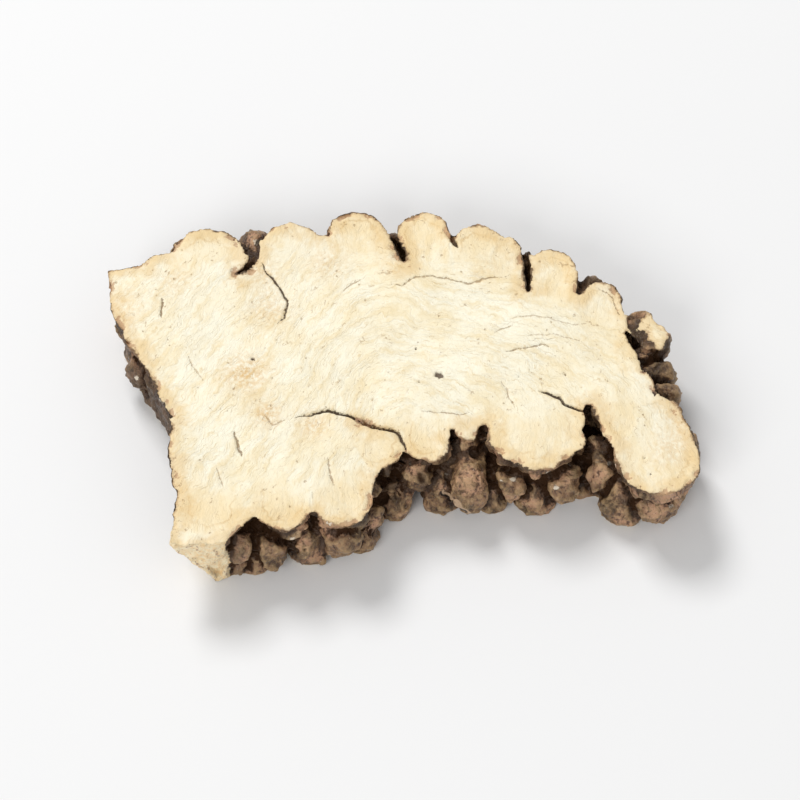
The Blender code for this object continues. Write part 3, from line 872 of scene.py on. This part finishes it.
class Nodes:
    """Small helper for wiring a material's nodes."""

    def __init__(self, material):
        material.use_nodes = True
        self.tree = material.node_tree
        self.shader = self.tree.nodes["Principled BSDF"]

    def add(self, kind, **settings):
        node = self.tree.nodes.new(kind)
        for name, value in settings.items():
            setattr(node, name, value)
        return node

    def put(self, value, socket):
        """Links a socket, or sets a number, or a colour from 0 to 255 as on a screen."""
        if isinstance(value, bpy.types.NodeSocket):
            self.tree.links.new(value, socket)
        else:
            socket.default_value = linear(value) if isinstance(value, tuple) else value

    def fill(self, node, **inputs):
        """Links or sets a node's inputs by name, and gives its first output."""
        for name, value in inputs.items():
            self.put(value, node.inputs[name])
        return node.outputs[0]

    def field(self, name, output="Fac"):
        """A field that the mesh stores."""
        return self.add("ShaderNodeAttribute", attribute_name=name).outputs[output]

    def math(self, operation, *values):
        node = self.add("ShaderNodeMath", operation=operation)
        for value, socket in zip(values, node.inputs):
            self.put(value, socket)
        return node.outputs[0]

    def joined(self, operation, values):
        result = values[0]
        for value in values[1:]:
            result = self.math(operation, result, value)
        return result

    def times(self, *values):
        return self.joined("MULTIPLY", values)

    def total(self, *values):
        return self.joined("ADD", values)

    def rest_of(self, value):
        """What is left of one."""
        return self.math("SUBTRACT", 1, value)

    def without_sign(self, value):
        return self.math("ABSOLUTE", value)

    def ramp(self, value, start, end, low=0.0, high=1.0):
        """The value smoothly taken from one range to another."""
        node = self.add("ShaderNodeMapRange", interpolation_type="SMOOTHSTEP")
        self.put(value, node.inputs["Value"])
        names = ("From Min", "From Max", "To Min", "To Max")
        for name, number in zip(names, (start, end, low, high)):
            node.inputs[name].default_value = number
        return node.outputs[0]

    def frayed(self, value, noise, amount):
        """The value with up to the amount added or taken off by a noise."""
        return self.total(value, self.ramp(noise, 0.3, 0.7, -amount, amount))

    def mix(self, share, one, two, kind="RGBA", first=6, output=2):
        """Two colours mixed, the second by its share."""
        node = self.add("ShaderNodeMix", data_type=kind, clamp_factor=True)
        for value, place in ((share, 0), (one, first), (two, first + 1)):
            self.put(value, node.inputs[place])
        return node.outputs[output]

    def between(self, share, one, two):
        """Two numbers mixed, the second by its share."""
        return self.mix(share, one, two, "FLOAT", 2, 0)

    def layered(self, base, *layers):
        """A colour with others laid over it in turn, each by its share."""
        for share, over in layers:
            base = self.mix(share, base, over)
        return base

    def scaled(self, vector, x, y, z):
        node = self.add("ShaderNodeVectorMath", operation="MULTIPLY")
        self.put(vector, node.inputs[0])
        node.inputs[1].default_value = (x, y, z)
        return node.outputs[0]

    def shifted(self, vector, by, amount):
        """The vector moved by the colour of a noise, times the amount."""
        centred = self.add("ShaderNodeVectorMath", operation="SUBTRACT")
        self.put(by, centred.inputs[0])
        centred.inputs[1].default_value = (0.5, 0.5, 0.5)
        node = self.add("ShaderNodeVectorMath", operation="MULTIPLY_ADD")
        self.put(centred.outputs[0], node.inputs[0])
        node.inputs[1].default_value = (amount, amount, amount)
        self.put(vector, node.inputs[2])
        return node.outputs[0]

    def noise(self, vector, scale, detail=4.0, roughness=0.55, output=0):
        node = self.add("ShaderNodeTexNoise")
        self.fill(node, Vector=vector, Scale=scale, Detail=detail, Roughness=roughness)
        return node.outputs[output]

    def cells(self, vector, scale):
        """Distance from the middle of the nearest of many scattered cells."""
        return self.fill(self.add("ShaderNodeTexVoronoi"), Vector=vector, Scale=scale)

    def bump(self, height, distance, strength):
        node = self.add("ShaderNodeBump")
        return self.fill(node, Height=height, Distance=distance, Strength=strength)


def linear(colour):
    """A linear colour from one given as on a screen, 0 to 255."""
    screen = [channel / 255 for channel in colour]
    steps = [c / 12.92 if c < 0.04045 else ((c + 0.055) / 1.055) ** 2.4 for c in screen]
    return (*steps, 1.0)


def fibres(n, here):
    """Broad strands and fine threads that follow the grain, as two values."""
    wander = n.noise(here, 0.35, 3, output=1)
    fine_wander = n.noise(here, 1.5, 2, output=1)
    values = []
    for name in ("core_grain", "lobe_grain"):
        grain = n.shifted(n.field(name, "Vector"), wander, 2.2)
        grain = n.shifted(grain, fine_wander, 0.5)
        strands = n.noise(n.scaled(grain, 0.24, 1.3, 1), 1, 5, 0.62)
        threads = n.noise(n.scaled(grain, 0.8, 6.5, 1), 1, 3, 0.6)
        values.append((strands, threads))
    share = n.field("lobe_share")
    return [n.between(share, one, two) for one, two in zip(*values)]


def flesh_colour(n, here, strands, threads, speckle):
    """Cream flesh with tan strands, edges and stains, pores, cracks darkened with painted shade,
    and dark spots.
    """
    fine_wander = n.noise(here, 1.6, 2, output=1)
    mottle = n.noise(here, 0.22, 4, 0.6)
    lobe_share = n.field("lobe_share")
    lobe_tan = n.times(lobe_share, n.ramp(mottle, 0.25, 0.65, 0.2, 0.75))
    ratio = n.ramp(n.noise(here, 0.8, 3), 0.2, 0.8, -0.14, 0.14)
    ratio = n.total(n.field("lobe_ratio"), ratio)
    ring = n.ramp(n.without_sign(n.math("SUBTRACT", ratio, 0.66)), 0.07, 0)
    ring = n.times(ring, lobe_share, n.ramp(mottle, 0.4, 0.6))
    uneven = n.ramp(n.noise(here, 0.5, 3, 0.6), 0.3, 0.7, -0.9, 0.7)
    band = n.total(n.field("face_edge"), uneven)
    stain = n.times(n.field("stain"), n.ramp(speckle, 0.3, 0.65))
    pores = n.cells(n.shifted(here, fine_wander, 0.5), 0.9)
    pores = n.times(n.ramp(pores, 0.16, 0.06), n.ramp(speckle, 0.48, 0.6))
    dashes = n.shifted(n.field("core_grain", "Vector"), fine_wander, 1.4)
    dashes = n.noise(n.scaled(dashes, 0.9, 3.4, 1), 1, 2, 0.5)
    dashes = n.times(n.ramp(dashes, 0.64, 0.73), n.ramp(mottle, 0.36, 0.52))
    width = n.field("crack_width")
    darkness = n.field("crack_dark")
    ragged = n.ramp(n.noise(here, 4, 3), 0.25, 0.75, -0.07, 0.05)
    reach = n.total(n.times(width, 0.5), ragged)
    away = n.without_sign(n.field("crack_away"))
    crack = n.ramp(n.math("SUBTRACT", reach, away), -0.04, 0.06)
    crack = n.times(crack, n.ramp(width, 0, 0.05))
    brown = n.mix(n.ramp(darkness, 0.3, 0.9), (168, 128, 82), (74, 50, 32))
    spot = n.frayed(n.field("spot"), speckle, 0.15)
    chipped = n.ramp(n.frayed(n.field("chips"), speckle, 0.3), 0.35, 0.6)
    flesh = n.layered(
        (252, 246, 224),
        (n.ramp(mottle, 0.35, 0.68), (248, 235, 202)),
        (n.ramp(strands, 0.44, 0.7, high=0.7), (238, 218, 174)),
        (n.ramp(threads, 0.55, 0.76, high=0.55), (214, 186, 134)),
        (n.ramp(threads, 0.44, 0.24, high=0.5), (255, 251, 238)),
        (lobe_tan, (244, 222, 178)),
        (n.times(ring, 0.45), (206, 168, 108)),
        (n.ramp(band, 1.8, 0, high=0.6), (232, 200, 144)),
        (n.times(stain, 0.8), (220, 176, 106)),
        (n.times(pores, 0.5), (168, 126, 74)),
        (n.times(dashes, 0.5), (156, 118, 74)),
        # Painted shade in the cracks, darker in the darker ones.
        (n.times(crack, n.ramp(darkness, 0, 0.9, 0.25, 0.92)), brown),
        (n.ramp(spot, 0.15, 0.6, high=0.85), (80, 56, 42)),
        (n.times(chipped, 0.7), (186, 146, 112)),
    )
    return flesh, pores, n.times(crack, darkness)


def bark_colour(n, here, crust, grit):
    """Brown bark, pinker and with a painted highlight on the crests, and painted shade near black
    in the creases, hollows and slit walls, under the rim and at the shaded places.
    """
    patch = n.noise(here, 0.38, 3, 0.55)
    bent = n.shifted(here, n.noise(here, 0.9, 2, output=1), 1)
    streaks = n.noise(n.scaled(bent, 2.6, 2.6, 0.9), 1, 4, 0.6)
    cavity = n.field("cavity")
    placed = n.field("pink")
    pink = n.times(n.ramp(patch, 0.44, 0.62), n.ramp(n.field("tone"), 0.1, 0.7, 0.3, 1))
    pink = n.math("MAXIMUM", pink, n.ramp(n.frayed(placed, crust, 0.3), 0.3, 0.8))
    olive = n.times(n.ramp(patch, 0.47, 0.34), n.rest_of(placed))
    dim = n.ramp(n.frayed(n.field("dim"), crust, -0.3), 0.25, 0.75)
    flake = n.ramp(n.frayed(n.field("flakes"), grit, 0.35), 0.35, 0.6)
    hollow = n.frayed(cavity, streaks, -0.05)
    # Painted shade, near black, in the creases between nodules.
    painted_gap_shade = n.ramp(n.frayed(n.field("crease"), crust, -0.3), 0.35, 0.8)
    shade = n.times(n.ramp(n.field("upper_edge"), -2.4, -0.9), n.ramp(patch, 0.6, 0.42))
    shade = n.times(shade, n.rest_of(placed))
    split = n.field("split_away")
    split_shadow = n.without_sign(n.total(split, 0.22))
    # The slit walls: dark bark, made near black with painted shade.
    walls = n.times(n.field("cleft"), n.ramp(crust, 0.25, 0.6, 0.95, 0.75))
    bark = n.layered(
        (102, 75, 48),
        (n.ramp(crust, 0.36, 0.64), (148, 116, 81)),
        (pink, (198, 153, 120)),
        (n.times(olive, 0.8), (96, 78, 52)),
        (n.ramp(streaks, 0.5, 0.38, high=0.8), (70, 46, 32)),
        (n.ramp(streaks, 0.57, 0.7, high=0.5), (207, 171, 128)),
        (n.ramp(grit, 0.43, 0.34, high=0.6), (54, 34, 20)),
        # Painted highlight: paler on the crests.
        (n.ramp(cavity, -0.02, -0.12, high=0.4), (202, 168, 122)),
        (n.times(n.field("scar"), 0.6), (220, 186, 142)),
        (n.times(n.field("left_flank"), 0.8), (66, 48, 29)),
        # Painted shade at the places listed as shaded.
        (n.times(dim, 0.65), (60, 40, 24)),
        (n.ramp(grit, 0.66, 0.7, high=0.9), (244, 232, 214)),
        (n.times(flake, 0.9), (244, 230, 208)),
        # Painted shade in the hollows of the bark.
        (n.ramp(hollow, 0.03, 0.15, high=0.8), (60, 39, 23)),
        (n.times(painted_gap_shade, 0.88), (58, 37, 22)),
        (n.times(shade, 0.7), (54, 35, 20)),
        # Painted shadow: a dark line along one side of the pale split.
        (n.ramp(split_shadow, 0.2, 0.08, high=0.9), (34, 20, 10)),
        (n.ramp(n.without_sign(split), 0.16, 0.06, high=0.85), (214, 182, 148)),
        (walls, (46, 28, 13)),
    )
    return bark, streaks, n.math("MAXIMUM", painted_gap_shade, walls)


def slice_material():
    """Flesh on the cuts and bark around them, with a thin cork line between the two."""
    material = bpy.data.materials.new("dried_rhizome")
    n = Nodes(material)
    place = n.add("ShaderNodeTexCoord").outputs["Object"]
    here = n.scaled(place, 1 / MM, 1 / MM, 1 / MM)
    strands, threads = fibres(n, here)
    speckle = n.noise(here, 2.6, 3, 0.6)
    crust = n.noise(here, 2.2, 6, 0.68)
    grit = n.noise(here, 7, 4, 0.7)
    flesh, pores, crack = flesh_colour(n, here, strands, threads, speckle)
    bark, streaks, painted_gap_shade = bark_colour(n, here, crust, grit)

    # The torn corner is flesh too, with brown specks and no cork line.
    torn_here = n.field("torn")
    torn_flesh = n.layered(
        (255, 238, 200),
        (n.ramp(crust, 0.4, 0.62), (248, 216, 164)),
        (n.ramp(streaks, 0.57, 0.66, high=0.75), (150, 108, 80)),
    )
    bark = n.mix(n.ramp(n.frayed(torn_here, crust, 0.25), 0.4, 0.6), bark, torn_flesh)

    # Which of the two shows, and the cork line.
    ragged = n.ramp(n.noise(here, 3, 4, 0.65), 0.25, 0.75, -0.13, 0.13)
    ragged = n.total(n.field("face_edge"), ragged)
    is_flesh = n.ramp(ragged, -0.02, 0.06)
    cork = n.ramp(n.noise(here, 0.7, 3), 0.35, 0.62, 0.1, 0.9)
    cork = n.times(n.ramp(ragged, 0.34, 0.08), is_flesh, cork, n.rest_of(torn_here))
    flesh = n.mix(n.times(cork, 0.75), flesh, (150, 108, 70))
    n.put(n.mix(is_flesh, bark, flesh), n.shader.inputs["Base Color"])

    rough = n.between(is_flesh, n.ramp(crust, 0.3, 0.7, 0.28, 0.55), 0.8)
    n.put(rough, n.shader.inputs["Roughness"])
    # Less shine where shade is painted in the creases and slit walls.
    shine = n.between(is_flesh, n.ramp(painted_gap_shade, 0, 1, 0.48, 0.05), 0.3)
    n.put(shine, n.shader.inputs["Specular IOR Level"])

    flesh_height = n.total(n.times(threads, 0.7), n.times(strands, 0.6), n.times(speckle, 0.4),
                           n.times(pores, -0.5), n.times(crack, -0.9))
    bark_height = n.total(n.times(crust, 0.9), n.times(grit, 0.35), n.times(streaks, 1.8))
    both = n.between(is_flesh, bark_height, flesh_height)
    n.put(n.bump(both, BUMP_HEIGHT, 0.9), n.shader.inputs["Normal"])
    return material


def floor_material():
    material = bpy.data.materials.new("pale_floor")
    shader = Nodes(material).shader
    shader.inputs["Base Color"].default_value = (FLOOR_GREY, FLOOR_GREY, FLOOR_GREY, 1)
    shader.inputs["Roughness"].default_value = 0.9
    shader.inputs["Specular IOR Level"].default_value = 0.1
    return material


# The room.


def aim(thing, azimuth, height, distance, target=(0.0, 0.0, 0.0)):
    """Moves a light or camera to a side and a height in degrees, looking at the target."""
    a, h = math.radians(azimuth), math.radians(height)
    away = Vector((math.sin(a) * math.cos(h), -math.cos(a) * math.cos(h), math.sin(h)))
    thing.location = Vector(target) + away * distance
    thing.rotation_euler = away.to_track_quat("Z", "Y").to_euler()


def add_floor():
    mesh = bpy.data.meshes.new("floor")
    h = FLOOR_HALF
    mesh.from_pydata([(-h, -h, 0), (h, -h, 0), (h, h, 0), (-h, h, 0)], [], [(0, 1, 2, 3)])
    mesh.materials.append(floor_material())
    floor = linked("floor", mesh)
    floor.location.z = -FLOOR_BELOW


def add_light():
    world = bpy.data.worlds.new("soft_room")
    world.use_nodes = True
    background = world.node_tree.nodes["Background"]
    background.inputs["Color"].default_value = (1.0, 1.0, 1.0, 1.0)
    background.inputs["Strength"].default_value = SKY_STRENGTH
    bpy.context.scene.world = world
    for name, azimuth, height, distance, size, power in LIGHTS:
        data = bpy.data.lights.new(name, "AREA")
        data.shape = "SQUARE"
        data.size = size
        data.energy = power
        aim(linked(name, data), azimuth, height, distance)


def add_camera():
    data = bpy.data.cameras.new("camera")
    data.lens = LENS
    data.sensor_width = SENSOR_WIDTH
    data.clip_start = NEAREST_SEEN
    camera = linked("camera", data)
    aim(camera, 0, CAMERA_HEIGHT, CAMERA_DISTANCE, CAMERA_LOOKS_AT)
    bpy.context.scene.camera = camera


def main():
    dressed = build_slice()
    dressed.data.materials.append(slice_material())
    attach(dressed, "root")
    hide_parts(NODE)
    add_floor()
    add_light()
    add_camera()
    bpy.context.scene.view_settings.view_transform = "Standard"


main()
bpy.context.view_layer.update()
